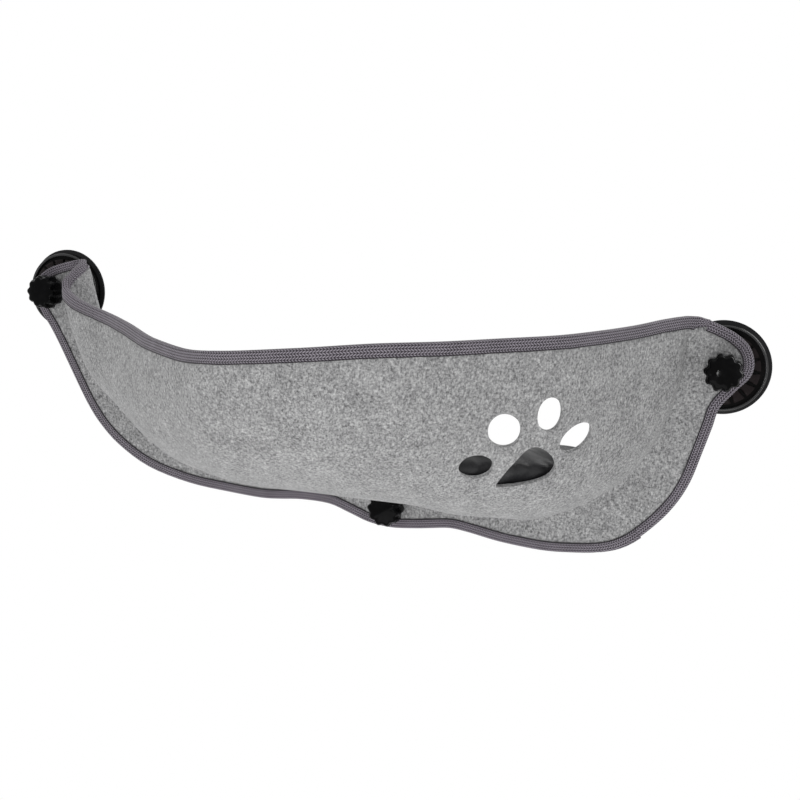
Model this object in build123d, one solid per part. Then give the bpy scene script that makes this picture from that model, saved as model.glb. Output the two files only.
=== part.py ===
from build123d import *
import math
import os

os.makedirs("parts", exist_ok=True)

# All sizes in millimetres. The pane is the plane y = 0, the room is on the -y side, z is up.
# Layout
cup_spacing = 628
lower_cup_drop = 158
lower_cup_shift = 42
pouch_depth = 197.5

# Felt sling
felt_thickness = 4
valley_radius = 11
trim_reach = 7.5
trim_height = 60

# Binding tape
rim_tape_width = 9.4
rim_tape_gap = 0.7
flange_tape_width = 8.2
tape_thickness = 0.6
tape_gap = 0.3
tape_overrun = 4
overlap_gap = 0.1

# Suction cup, and the smaller cup at the bottom as a share of it
cup_radius = 40
lower_cup_share = 0.62
cup_land = 3
cup_hollow = 2.2
cup_lip = 1.4
cup_back_radius = 30
cup_back_height = 3.4
boss_radius = 9.5
boss_foot = 6
boss_height = 13

# Ribbed housing
housing_height = 22.5
housing_radius = 36.6
band_foot = 3.4
band_height = 9.6
band_inner = 33.4
groove_floor = 8.2
dome_radius = 28.4
dome_edge = 10.5
hub_radius = 8.9
rib_clearance = 1.6
wall_thickness = 2.6
rib_count = 16
rib_width = 1.5
rib_height = 2.2

# Stud, washer, knob and insert
stud_radius = 4
stud_head_radius = 7
stud_head_height = 2
stud_end = 43
stud_hole_radius = 4.6
washer_radius = 8.9
washer_thickness = 1.5
washer_bore = 4.3
knob_depth = 23
knob_collar_radius = 12.4
knob_collar = 4.5
knob_core_radius = 13.8
knob_lobe_radius = 3
knob_lobes = 10
knob_dome = 2.4
knob_edge = 1.6
insert_radius = 7
insert_length = 9
insert_fit = 0.05
thread_fit = 0.05
knob_bore_end = 18.5

# Cushion
cushion_gap = 1.3
cushion_back_gap = 3
cushion_top = 76
cushion_base = 131
cushion_steps = 18
cushion_end = 16
cushion_end_depth = 14
cushion_blunt = 0.6

# Paw print cut through the wall
paw_x = 175.4
paw_out = 137.4
paw_drop = 68
paw_size = 28
paw_cut = 60
paw_normal_share = (0.477, -0.813, -0.334)

# Shares of half the spacing across, of the depth outwards and of the lower cup's drop upwards.
# Rim (x, out, z), valley (x, z), hem (x, z) and belly for each strip from left to right.
strip_shares = [
    ((-1.121, 0.000, 0.215), (-1.121, 0.114), (-1.121, -0.127), 0.000),
    ((-1.064, 0.000, 0.222), (-1.070, 0.120), (-1.099, -0.209), 0.000),
    ((-0.994, 0.000, 0.222), (-1.003, 0.127), (-1.076, -0.285), 0.000),
    ((-0.933, 0.000, 0.199), (-0.936, 0.120), (-1.051, -0.361), 0.000),
    ((-0.906, 0.008, 0.210), (-0.901, 0.125), (-1.025, -0.430), 0.000),
    ((-0.896, 0.038, 0.193), (-0.879, 0.089), (-1.013, -0.475), 0.010),
    ((-0.904, 0.084, 0.152), (-0.863, 0.051), (-0.997, -0.519), 0.020),
    ((-0.912, 0.119, 0.101), (-0.854, 0.000), (-0.984, -0.557), 0.035),
    ((-0.901, 0.154, 0.054), (-0.844, -0.057), (-0.971, -0.595), 0.061),
    ((-0.838, 0.215, 0.000), (-0.831, -0.184), (-0.949, -0.665), 0.101),
    ((-0.764, 0.276, -0.025), (-0.812, -0.316), (-0.920, -0.747), 0.101),
    ((-0.675, 0.357, -0.045), (-0.771, -0.481), (-0.879, -0.848), 0.061),
    ((-0.573, 0.484, -0.064), (-0.690, -0.625), (-0.796, -0.962), 0.020),
    ((-0.427, 0.686, -0.093), (-0.557, -0.800), (-0.653, -1.076), 0.000),
    ((-0.303, 0.838, -0.095), (-0.408, -0.895), (-0.478, -1.152), 0.000),
    ((-0.159, 0.970, -0.064), (-0.229, -0.915), (-0.261, -1.190), 0.020),
    ((0.038, 1.000, -0.002), (0.030, -0.868), (0.010, -1.228), 0.055),
    ((0.229, 0.929, 0.057), (0.235, -0.868), (0.235, -1.228), 0.055),
    ((0.357, 0.838, 0.085), (0.382, -0.920), (0.395, -1.228), 0.020),
    ((0.484, 0.711, 0.116), (0.525, -0.918), (0.573, -1.228), 0.000),
    ((0.608, 0.585, 0.147), (0.656, -0.823), (0.739, -1.177), 0.000),
    ((0.688, 0.433, 0.171), (0.755, -0.677), (0.860, -1.063), 0.000),
    ((0.771, 0.261, 0.202), (0.834, -0.468), (0.955, -0.854), 0.000),
    ((0.838, 0.129, 0.237), (0.879, -0.190), (1.013, -0.601), 0.000),
    ((0.876, 0.063, 0.253), (0.895, 0.000), (1.035, -0.475), 0.000),
    ((0.898, 0.025, 0.259), (0.904, 0.114), (1.051, -0.392), 0.000),
    ((0.920, 0.005, 0.260), (0.927, 0.165), (1.064, -0.335), 0.000),
    ((0.952, 0.000, 0.250), (0.959, 0.165), (1.076, -0.285), 0.000),
    ((1.000, 0.000, 0.260), (1.010, 0.160), (1.096, -0.228), 0.000),
    ((1.070, 0.000, 0.253), (1.080, 0.152), (1.115, -0.177), 0.000),
    ((1.127, 0.000, 0.241), (1.134, 0.139), (1.134, -0.127), 0.000),
]
# Cut edge of the flange (x, z), from the left fold round the bottom to the right fold.
outline_shares = [
    (-0.933, 0.199), (-0.984, 0.165), (-1.025, 0.127), (-1.054, 0.070),
    (-1.065, 0.000), (-1.057, -0.063), (-1.038, -0.133), (-1.004, -0.220), (-0.971, -0.319),
    (-0.937, -0.430), (-0.891, -0.580), (-0.856, -0.685), (-0.815, -0.782), (-0.750, -0.891),
    (-0.645, -0.999), (-0.507, -1.059), (-0.374, -1.075), (-0.268, -1.079), (-0.207, -1.067),
    (-0.137, -1.048), (-0.051, -1.047), (0.014, -1.082), (0.076, -1.118), (0.143, -1.128),
    (0.213, -1.111), (0.258, -1.095), (0.318, -1.075), (0.376, -1.083), (0.465, -1.106),
    (0.580, -1.115), (0.662, -1.101), (0.745, -1.071), (0.811, -1.010), (0.874, -0.887),
    (0.922, -0.755), (0.954, -0.614), (0.975, -0.443), (0.991, -0.303), (1.002, -0.198),
    (1.038, -0.095), (1.067, -0.019), (1.073, 0.051), (1.057, 0.133), (1.022, 0.190),
    (0.984, 0.224), (0.951, 0.247),
]
wall_row_shares = [0, 0.12, 0.25, 0.38, 0.52, 0.66, 0.8, 0.92, 1]
fillet_row_shares = [0.33, 0.67]
flange_row_shares = [0, 0.4, 1]
wall_drop_share = 0.62
wall_sweep_share = 0.5
wall_lean_share = 0.35
fillet_share = 0.4
rim_span_shares = (0.107, 0.889)
overlap_span_shares = (0.69, 0.712)
# Paw toes (across, up, half width, half height, turn in degrees) and pad points, in paw sizes.
toe_shares = [
    (-1.32, -0.59, 0.50, 0.43, 10),
    (-0.79, 0.62, 0.47, 0.50, 0),
    (0.43, 1.13, 0.36, 0.50, -8),
    (1.44, 0.39, 0.52, 0.45, 35),
]
pad_shares = [
    (0.20, 0.15), (0.62, -0.05), (0.98, -0.42), (0.86, -0.86), (0.42, -1.06),
    (-0.02, -1.22), (-0.48, -1.34), (-0.58, -1.02), (-0.42, -0.50), (-0.16, -0.06),
]
# Cushion contours: height between base and top, and inset as a share of the valley radius.
cushion_shares = [
    (0, 1.2), (0.03, 0.5), (0.08, 0.2), (0.16, 0.05), (0.3, 0), (0.5, 0), (0.66, 0.05),
    (0.78, 0.15), (0.87, 0.4), (0.93, 0.8), (0.97, 1.4), (1, 2.6),
]

half_span = cup_spacing / 2
felt_plane = housing_height + felt_thickness / 2
felt_front = housing_height + felt_thickness
washer_front = felt_front + washer_thickness
cups = {
    "left": (-half_span, 0),
    "right": (half_span, 0),
    "lower": (lower_cup_shift, -lower_cup_drop),
}


# Smooth reading of a share table between its stations
def slope(values, i):
    if i <= 0 or i >= len(values) - 1:
        return 0
    before = values[i] - values[i - 1]
    after = values[i + 1] - values[i]
    if before * after <= 0:
        return 0
    return 2 * before * after / (before + after)


def glide(values, k):
    i = min(int(k), len(values) - 2)
    t = k - i
    a, b = values[i], values[i + 1]
    fa, fb = slope(values, i), slope(values, i + 1)
    straight = a * (1 - t) + b * t
    return straight + t * (1 - t) * ((1 - t) * (fa - b + a) - t * (fb - b + a))


# One strip of felt from the rim down the wall, through the valley to the hem
def strip_keys(k):
    k = max(0, min(k, len(strip_shares) - 1))
    table = [rim + valley + hem + (belly,) for rim, valley, hem, belly in strip_shares]
    x, out, z, vx, vz, hx, hz, belly = [glide(column, k) for column in zip(*table)]
    rim = Vector(x * half_span, -felt_plane - out * pouch_depth, z * lower_cup_drop)
    valley = Vector(vx * half_span, -felt_plane, vz * lower_cup_drop)
    hem = Vector(hx * half_span, -felt_plane, hz * lower_cup_drop)
    return rim, valley, hem, belly * pouch_depth


def bezier(points, t):
    while len(points) > 1:
        points = [a * (1 - t) + b * t for a, b in zip(points, points[1:])]
    return points[0]


def strip_points(k, wall_rows, fillet_rows, flange_rows):
    rim, valley, hem, belly = strip_keys(k)
    down = (hem - valley).normalized()
    out = Vector(0, -1, 0)
    depth = -felt_plane - rim.Y
    radius = min(valley_radius, fillet_share * depth)
    back = min(valley_radius - radius, (valley - rim).length / 2)
    foot = valley + out * radius - down * back
    flat = valley + down * (valley_radius + radius) / 2
    reach = valley - rim
    lean = Vector(reach.X * wall_lean_share, 0, reach.Z) * wall_drop_share
    low = (foot - rim).length / 3 * (1 - radius / valley_radius)
    first = rim + lean + down * belly
    second = foot + out * depth * wall_sweep_share - down * low + down * belly
    points = [bezier([rim, first, second, foot], t) for t in wall_rows]
    points += [bezier([foot, valley, flat], t) for t in fillet_rows]
    points += [flat * (1 - t) + hem * t for t in flange_rows]
    return points


def surface_rows(k):
    return strip_points(k, wall_row_shares, fillet_row_shares, flange_row_shares)


def normals(before, here, after):
    found = []
    for i, point in enumerate(here):
        along = here[min(i + 1, len(here) - 1)] - here[max(i - 1, 0)]
        across = after[i] - before[i]
        found.append(along.cross(across).normalized())
    return found


stations = [i / 2 for i in range(2 * len(strip_shares) - 1)]
last_strip = len(strip_shares) - 1


# Felt sling: lofted sheet, trimmed to the cut edge, with stud holes and the paw print
def felt_section(k):
    here = surface_rows(k)
    side = normals(surface_rows(k - 1 / 4), here, surface_rows(k + 1 / 4))
    front = [p + n * felt_thickness / 2 for p, n in zip(here, side)]
    rear = [p - n * felt_thickness / 2 for p, n in zip(here, side)]
    return Wire.make_polygon(front + rear[::-1], close=True)


def outline_edge():
    points = [(x * half_span, 0, z * lower_cup_drop) for x, z in outline_shares]
    return Edge.make_spline([Vector(*p) for p in points])


def offset_path(start, end, count, amount, y):
    edge = outline_edge()
    points = []
    for i in range(count + 1):
        t = start + (end - start) * i / count
        tangent = edge.tangent_at(t)
        side = Vector(tangent.Z, 0, -tangent.X)
        points.append(edge.position_at(t) - side * -amount + Vector(0, y, 0))
    return points


def trim_ring():
    near, far = -felt_plane - trim_reach, -felt_plane + trim_reach
    edge = offset_path(0, 1, 2 * len(outline_shares), 0, near)
    first, last = edge[0], edge[-1]
    high = [Vector(last.X, near, trim_height), Vector(first.X, near, trim_height)]
    corners = Wire.make_polygon([last] + high + [first], close=False)
    inside = extrude(Face(Wire([Edge.make_spline(edge)] + corners.edges())), far - near, (0, 1, 0))
    plate = Box(cup_spacing * 2, far - near, lower_cup_drop * 4)
    return Pos(0, -felt_plane, 0) * plate - inside


def paw_plane():
    normal = Vector(*paw_normal_share).normalized()
    across = Vector(-normal.Y, normal.X, 0).normalized()
    return Plane(origin=(paw_x, -paw_out, -paw_drop), x_dir=across, z_dir=normal)


def paw_cutter():
    face = paw_plane()
    points = [(x * paw_size, y * paw_size) for x, y in pad_shares]
    sketch = make_face(Spline(points, periodic=True))
    for x, y, wide, high, turn in toe_shares:
        toe = Rot(0, 0, turn) * Ellipse(wide * paw_size, high * paw_size)
        sketch += Pos(x * paw_size, y * paw_size, 0) * toe
    return face * extrude(sketch, paw_cut / 2, both=True)


def felt_sling():
    sheet = Solid.make_loft([felt_section(k) for k in stations])
    body = sheet - trim_ring()
    for x, z in cups.values():
        hole = Rot(90, 0, 0) * Cylinder(stud_hole_radius, 4 * felt_plane)
        body -= Pos(x, 0, z) * hole
    return body - paw_cutter()


# Tape folded over the rim
def walk(points, distance):
    for a, b in zip(points, points[1:]):
        step = (b - a).length
        if distance <= step:
            return a + (b - a) * distance / step
        distance -= step
    return points[-1]


def rim_station(k):
    points = surface_rows(k)
    return [walk(points, rim_tape_width * i / 3) for i in range(4)]


def tape_section(k):
    here = rim_station(k)
    side = normals(rim_station(k - 1 / 8), here, rim_station(k + 1 / 8))
    inner = felt_thickness / 2 + rim_tape_gap
    outer = inner + tape_thickness
    up = (here[0] - here[1]).normalized()
    along = up.cross(side[0]).normalized()
    here = [p - along * along.dot(p - here[0]) for p in here]
    side = [(n - along * along.dot(n)).normalized() for n in side]
    loop = []
    for depth, lift, order in ((outer, tape_thickness + tape_gap, 1), (inner, tape_gap, -1)):
        front = [p + n * depth for p, n in zip(here, side)]
        rear = [p - n * depth for p, n in zip(here, side)]
        front[0] += up * lift
        rear[0] += up * lift
        loop += (front[::-1] + rear)[::order]
    return Wire.make_polygon(loop, close=True)


def rim_binding():
    first, last = [share * last_strip for share in rim_span_shares]
    inner = [k for k in stations if first + 1 / 4 < k < last - 1 / 4]
    return Solid.make_loft([tape_section(k) for k in [first] + inner + [last]])


# Tape folded over the flange edge
def band(span, count, outer, inner, thickness):
    y = -felt_plane - thickness / 2
    out = offset_path(span[0], span[1], count, outer, y)
    back = offset_path(span[0], span[1], count, -inner, y)
    start, end = Edge.make_line(out[0], back[0]), Edge.make_line(out[-1], back[-1])
    face = Face(Wire([Edge.make_spline(out), end, Edge.make_spline(back), start]))
    return extrude(face, thickness, (0, 1, 0))


def folded_tape(span, count, gap, thickness, width):
    core = felt_thickness + 2 * gap
    skin = band(span, count, gap + thickness, width, core + 2 * thickness)
    return skin - band(span, count, gap, width + tape_overrun, core)


def flange_binding():
    return folded_tape((0, 1), 2 * len(outline_shares), tape_gap, tape_thickness, flange_tape_width)


def binding_overlap():
    gap = tape_gap + tape_thickness + overlap_gap
    return folded_tape(overlap_span_shares, 6, gap, tape_thickness, flange_tape_width)


# Turned pieces about the cup axis, from (radius, height off the glass) points
def turned(points):
    corners = [Vector(r, -h, 0) for r, h in points]
    return revolve(Face(Wire.make_polygon(corners, close=True)), Axis.Y)


def prism(sketch, start, length):
    return Pos(0, -start, 0) * Rot(90, 0, 0) * extrude(sketch, length)


def stud():
    head_end = boss_foot + stud_head_height
    tip = stud_end - stud_radius / 4
    return turned([
        (0, boss_foot), (stud_head_radius, boss_foot), (stud_head_radius, head_end),
        (stud_radius, head_end), (stud_radius, tip), (stud_radius * 3 / 4, stud_end), (0, stud_end),
    ])


def suction_cup(share):
    rim = cup_radius * share
    back = cup_back_radius * share
    rubber = turned([
        (0, cup_hollow), (back, cup_hollow / 2), (rim - cup_land, 0), (rim, 0), (rim, cup_lip),
        (housing_radius * share, cup_lip * 2), (back, cup_back_height),
        (boss_radius + wall_thickness, boss_foot - cup_lip / 2),
        (boss_radius, boss_foot), (boss_radius, boss_height), (0, boss_height),
    ])
    return rubber - stud()


def housing_ribs(dome):
    start = hub_radius - wall_thickness
    length = dome - start
    ribs = []
    for i in range(rib_count):
        bar = Box(length, housing_height - groove_floor, rib_width)
        place = Pos(start + length / 2, -(housing_height + groove_floor) / 2, 0)
        ribs.append(Rot(0, 360 * i / rib_count, 0) * place * bar)
    return ribs


def cup_housing(share):
    bore = stud_hole_radius
    edge, inner, dome = housing_radius * share, band_inner * share, dome_radius * share
    shell = [
        (edge, band_foot), (edge, band_height - rib_height), (edge - rib_height / 2, band_height),
        (inner, band_height), (inner, groove_floor), (dome, groove_floor), (dome, dome_edge),
        (hub_radius, housing_height - rib_height), (hub_radius, housing_height),
        (bore, housing_height), (bore, boss_height + wall_thickness),
        (boss_radius + wall_thickness / 4, boss_height + wall_thickness / 2),
        (dome - wall_thickness, groove_floor - wall_thickness),
        (inner + wall_thickness / 4, groove_floor - wall_thickness),
        (inner + wall_thickness / 2, band_foot),
    ]
    rib_end = dome - rib_width / 2
    hull = turned([
        (0, groove_floor), (rib_end, groove_floor), (rib_end, dome_edge + rib_height),
        (hub_radius, housing_height - rib_clearance), (0, housing_height - rib_clearance),
    ])
    inside = turned([
        (0, 0), (dome, 0), (dome, dome_edge - wall_thickness),
        (hub_radius, housing_height - rib_height - wall_thickness), (0, housing_height),
    ])
    ribs = Compound(housing_ribs(dome)) & (hull - inside)
    return turned(shell) + ribs.solids()


def washer():
    ring = Circle(washer_radius) - Circle(washer_bore)
    return prism(ring, felt_front, washer_thickness)


def lobed_knob():
    core = Circle(knob_core_radius)
    for spot in PolarLocations(knob_core_radius - knob_edge / 2, knob_lobes):
        core += spot * Circle(knob_lobe_radius)
    lobes = prism(core, washer_front + knob_collar, knob_depth - knob_collar)
    tip = washer_front + knob_depth
    wide = knob_core_radius + knob_lobe_radius
    dome = turned([
        (0, washer_front), (wide - knob_edge, washer_front), (wide, washer_front + knob_collar + knob_edge),
        (wide, tip - knob_dome * 2), (wide - knob_edge / 2, tip - knob_dome),
        (wide - knob_edge * 2, tip - knob_edge / 2), (wide / 2, tip - knob_edge / 8), (0, tip),
    ])
    collar = prism(Circle(knob_collar_radius), washer_front, knob_collar + knob_edge)
    pocket = RegularPolygon(insert_radius + insert_fit, 6)
    body = (lobes & dome) + collar - prism(pocket, washer_front, insert_length)
    return body - prism(Circle(washer_bore), washer_front, knob_bore_end)


def thread_insert():
    section = RegularPolygon(insert_radius, 6) - Circle(stud_radius + thread_fit)
    return prism(section, washer_front, insert_length)


# Cushion lying in the pouch: contours follow the inside of the wall
def inner_rows():
    fine = [i / 16 for i in range(17)]
    steps = [i / 3 for i in range(3 * 5, 3 * (last_strip - 4))]
    strips = [strip_points(k, fine, fillet_row_shares, flange_row_shares) for k in steps]
    offset = felt_thickness / 2 + cushion_gap
    rows = []
    for before, here, after in zip(strips, strips[1:], strips[2:]):
        rows.append([p - n * offset for p, n in zip(here, normals(before, here, after))])
    return rows


def wall_contour(rows, z):
    found = []
    for points in rows:
        for a, b in zip(points, points[1:]):
            if a.Z > z >= b.Z and a.Y < -felt_plane:
                t = (a.Z - z) / (a.Z - b.Z)
                found.append(a * (1 - t) + b * t)
                break
    return found


def front_at(wall, x):
    for a, b in zip(wall, wall[1:]):
        if a.X <= x <= b.X:
            t = (x - a.X) / (b.X - a.X)
            return a.Y * (1 - t) + b.Y * t
    return wall[-1].Y


def cushion_ring(wall, z, inset):
    back = -felt_plane - cushion_back_gap
    wide = [p for p in wall if back - p.Y > cushion_end_depth]
    left, right = wide[0].X + inset, wide[-1].X - inset
    front, rear = [], []
    for i in range(cushion_steps + 1):
        x = left + (right - left) * (1 - math.cos(math.pi * i / cushion_steps)) / 2
        reach = min(1, (min(x - left, right - x) + cushion_blunt) / cushion_end)
        full = math.sqrt(reach * (2 - reach))
        half = (back - front_at(wall, x) - 2 * inset) / 2
        middle = back - inset - half
        half = max(half * full, cushion_blunt)
        front.append(Vector(x, middle - half, z))
        rear.append(Vector(x, middle + half, z))
    return Wire.make_polygon(front + rear[::-1], close=True)


def cushion():
    rows = inner_rows()
    sections = []
    for share, inset in cushion_shares:
        z = -cushion_base + share * (cushion_base - cushion_top)
        sections.append(cushion_ring(wall_contour(rows, z), z, inset * valley_radius))
    return Solid.make_loft(sections, ruled=True)


def save(name, shape):
    export_step(shape, "parts/" + name + ".step")


save("felt_sling", felt_sling())
save("rim_binding", rim_binding())
save("flange_binding", flange_binding())
save("binding_overlap", binding_overlap())
save("cushion", cushion())
fixing = {
    "stud": stud(),
    "washer": washer(),
    "knob": lobed_knob(),
    "thread_insert": thread_insert(),
}
for side, (x, z) in cups.items():
    share = lower_cup_share if side == "lower" else 1
    pieces = {**fixing, "suction_cup": suction_cup(share), "cup_housing": cup_housing(share)}
    for name, shape in pieces.items():
        save(name + "_" + side, Pos(x, 0, z) * shape)
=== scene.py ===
import bpy
import bmesh
import math
from mathutils import Matrix, Vector, noise


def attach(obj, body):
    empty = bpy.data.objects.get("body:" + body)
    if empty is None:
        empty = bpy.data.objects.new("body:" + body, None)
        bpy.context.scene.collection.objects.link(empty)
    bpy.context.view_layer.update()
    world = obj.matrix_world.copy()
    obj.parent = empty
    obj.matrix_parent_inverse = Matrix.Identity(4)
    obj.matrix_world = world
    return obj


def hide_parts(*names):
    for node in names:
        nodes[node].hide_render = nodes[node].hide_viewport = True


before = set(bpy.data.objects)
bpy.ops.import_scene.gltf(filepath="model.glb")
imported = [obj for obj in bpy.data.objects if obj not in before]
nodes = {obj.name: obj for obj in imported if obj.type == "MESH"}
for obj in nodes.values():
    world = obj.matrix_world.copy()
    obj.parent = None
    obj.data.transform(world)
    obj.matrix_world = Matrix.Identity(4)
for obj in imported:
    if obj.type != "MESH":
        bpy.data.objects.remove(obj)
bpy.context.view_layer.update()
scene = bpy.context.scene
print("frame loaded:", len(nodes), "nodes")


# Small helpers for meshes
def finished(name, mesh, material=None, sharpAngle=None):
    for face in mesh.faces:
        face.smooth = True
    if sharpAngle is not None:
        for edge in mesh.edges:
            edge.smooth = edge.calc_face_angle(0) < sharpAngle
    data = bpy.data.meshes.new(name)
    mesh.to_mesh(data)
    mesh.free()
    piece = bpy.data.objects.new(name, data)
    scene.collection.objects.link(piece)
    if material is not None:
        data.materials.append(material)
    return piece


def settled(piece):
    # what the modifiers make becomes the piece's own mesh
    graph = bpy.context.evaluated_depsgraph_get()
    made = bpy.data.meshes.new_from_object(piece.evaluated_get(graph))
    old = piece.data
    piece.modifiers.clear()
    piece.data = made
    bpy.data.meshes.remove(old)


def thickened(piece, thickness, offset, even=False):
    skin = piece.modifiers.new("thickness", "SOLIDIFY")
    skin.thickness = thickness
    skin.offset = offset  # 0 grows both ways, -1 grows inwards
    skin.use_even_offset = even
    settled(piece)


def sharpened(piece, sharpAngle, weld=0):
    # smooth faces, with crisp edges where they turn by more than the angle
    mesh = bmesh.new()
    mesh.from_mesh(piece.data)
    if weld:
        bmesh.ops.remove_doubles(mesh, verts=mesh.verts, dist=weld)
    for face in mesh.faces:
        face.smooth = True
    for edge in mesh.edges:
        edge.smooth = edge.calc_face_angle(0) < sharpAngle
    mesh.to_mesh(piece.data)
    mesh.free()


def painted(piece, material):
    piece.data.materials.clear()
    piece.data.materials.append(material)


def gridMesh(columns, rows, placeAt, uvAt):
    mesh = bmesh.new()
    bmesh.ops.create_grid(mesh, x_segments=columns, y_segments=rows, size=0.5)
    uvMap = mesh.loops.layers.uv.new("UVMap")
    share = {vert: (vert.co.x + 0.5, vert.co.y + 0.5) for vert in mesh.verts}  # 0 to 1 both ways
    for face in mesh.faces:
        for loop in face.loops:
            loop[uvMap].uv = uvAt(*share[loop.vert])
    for vert in mesh.verts:
        vert.co = placeAt(*share[vert])
    return mesh


def runningLengths(points):
    lengths = [0]
    for a, b in zip(points, points[1:]):
        lengths.append(lengths[-1] + (b - a).length)
    return lengths


# Small helpers for shader nodes
def newMaterial(name):
    material = bpy.data.materials.new(name)
    material.use_nodes = True
    tree = material.node_tree
    return material, tree, tree.nodes["Principled BSDF"]


def setSockets(node, values):
    for socket, value in values.items():
        node.inputs[socket].default_value = value


def objectCoords(tree):
    return tree.nodes.new("ShaderNodeTexCoord").outputs["Object"]


def noiseAt(tree, coords, scale, detail, rough, stretch=None, turn=None):
    if stretch is not None:
        mapping = tree.nodes.new("ShaderNodeMapping")
        setSockets(mapping, {"Scale": stretch, "Rotation": turn})
        tree.links.new(coords, mapping.inputs["Vector"])
        coords = mapping.outputs["Vector"]
    node = tree.nodes.new("ShaderNodeTexNoise")
    setSockets(node, {"Scale": scale, "Detail": detail, "Roughness": rough})
    tree.links.new(coords, node.inputs["Vector"])
    return node.outputs["Fac"]


def mathNode(tree, operation, a, b=None, clamp=False):
    node = tree.nodes.new("ShaderNodeMath")
    node.operation = operation
    node.use_clamp = clamp
    for i, value in enumerate((a, b)):
        if isinstance(value, (int, float)):
            node.inputs[i].default_value = value
        elif value is not None:
            tree.links.new(value, node.inputs[i])
    return node.outputs[0]


def weighted(tree, parts):
    # the sum of the parts, each times its share
    total = None
    for value, share in parts:
        part = mathNode(tree, "MULTIPLY", value, share)
        total = part if total is None else mathNode(tree, "ADD", total, part)
    return total


def colourInto(tree, shader, value, tones):
    ramp = tree.nodes.new("ShaderNodeValToRGB")
    marks = ramp.color_ramp.elements
    while len(marks) < len(tones):
        marks.new(0.5)
    for mark, (place, tone) in zip(marks, tones):
        mark.position = place
        mark.color = (*tone, 1)
    tree.links.new(value, ramp.inputs["Fac"])
    tree.links.new(ramp.outputs["Color"], shader.inputs["Base Color"])


def bumpInto(tree, shader, height, strength, distance):
    bump = tree.nodes.new("ShaderNodeBump")
    setSockets(bump, {"Strength": strength, "Distance": distance})
    tree.links.new(height, bump.inputs["Height"])
    tree.links.new(bump.outputs["Normal"], shader.inputs["Normal"])


# Camera at the photograph's angle
shot = {
    "place": (0.2777, -0.9253, 0.0961), "yaw": 0.256, "pitch": 0.167, "roll": -0.091,
    "lens": 47.25, "sensor": 36, "near": 0.05, "far": 20,
}


def addCamera():
    yaw, pitch = shot["yaw"], shot["pitch"]
    ahead = Vector((-math.sin(yaw) * math.cos(pitch), math.cos(yaw) * math.cos(pitch), -math.sin(pitch)))
    right = Matrix.Rotation(shot["roll"], 3, ahead) @ Vector((math.cos(yaw), math.sin(yaw), 0))
    up = right.cross(ahead)
    data = bpy.data.cameras.new("camera")
    data.lens, data.sensor_width = shot["lens"], shot["sensor"]
    data.clip_start, data.clip_end = shot["near"], shot["far"]
    camera = bpy.data.objects.new("camera", data)
    scene.collection.objects.link(camera)
    turn = Matrix((right, up, -ahead)).transposed().to_4x4()
    camera.matrix_world = Matrix.Translation(shot["place"]) @ turn
    scene.camera = camera


addCamera()
scene.view_settings.view_transform = "Standard"

# Floor, backdrop and lamps
studio = {
    "floorDrop": 0.95, "floorSize": 3, "floorPaint": {"Base Color": (0.86, 0.86, 0.86, 1), "Roughness": 0.8},
    "worldFill": 0.6, "aim": (0.02, -0.08, -0.05),
    "lamps": [
        {"name": "lowLamp", "place": (0.1, -0.9, -0.8), "size": 1.1, "power": 6},
        {"name": "fillLamp", "place": (1.4, -1.2, 0.4), "size": 1.2, "power": 0.8},
        {"name": "topLamp", "place": (0.0, -0.3, 1.6), "size": 1.2, "power": 2},
        {"name": "rearLamp", "place": (0.9, 0.75, 0.6), "size": 0.8, "power": 6},
        {"name": "glintLamp", "place": (0.222, -1.64, -0.175), "size": 0.03, "tall": 0.12, "power": 0.7},
    ],
}


def whiteForView(tree, kind, plain, end):
    # white to the camera, in gloss and through clear things, and plain to everything else
    path = tree.nodes.new("ShaderNodeLightPath")
    seen = mathNode(tree, "MAXIMUM", path.outputs["Is Camera Ray"], path.outputs["Is Transmission Ray"])
    seen = mathNode(tree, "MAXIMUM", seen, path.outputs["Is Glossy Ray"])
    glow = tree.nodes.new(kind)
    setSockets(glow, {"Color": (1, 1, 1, 1), "Strength": 1})
    mix = tree.nodes.new("ShaderNodeMixShader")
    for i, source in enumerate((seen, plain.outputs[0], glow.outputs[0])):
        tree.links.new(source, mix.inputs[i])
    tree.links.new(mix.outputs[0], end.inputs["Surface"])


def addStudio():
    world = bpy.data.worlds.new("studio")
    scene.world = world
    world.use_nodes = True
    tree = world.node_tree
    fill = tree.nodes["Background"]
    setSockets(fill, {"Color": (1, 1, 1, 1), "Strength": studio["worldFill"]})
    whiteForView(tree, "ShaderNodeBackground", fill, tree.nodes["World Output"])
    paint, tree, shader = newMaterial("floorPaint")
    setSockets(shader, studio["floorPaint"])
    whiteForView(tree, "ShaderNodeEmission", shader, tree.nodes["Material Output"])
    mesh = bmesh.new()
    bmesh.ops.create_grid(mesh, x_segments=2, y_segments=2, size=studio["floorSize"])
    bmesh.ops.translate(mesh, verts=mesh.verts, vec=(0, 0, -studio["floorDrop"]))
    floor = finished("floor", mesh, paint)
    aim = Vector(studio["aim"])
    for lamp in studio["lamps"]:
        light = bpy.data.lights.new(lamp["name"], "AREA")
        light.shape = "ELLIPSE"
        light.size, light.size_y = lamp["size"], lamp.get("tall", lamp["size"])
        light.energy = lamp["power"]
        holder = bpy.data.objects.new(lamp["name"], light)
        scene.collection.objects.link(holder)
        holder.location = lamp["place"]
        holder.rotation_euler = (aim - Vector(lamp["place"])).to_track_quat("-Z", "Y").to_euler()


addStudio()
print("camera, floor and lamps set")

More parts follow.
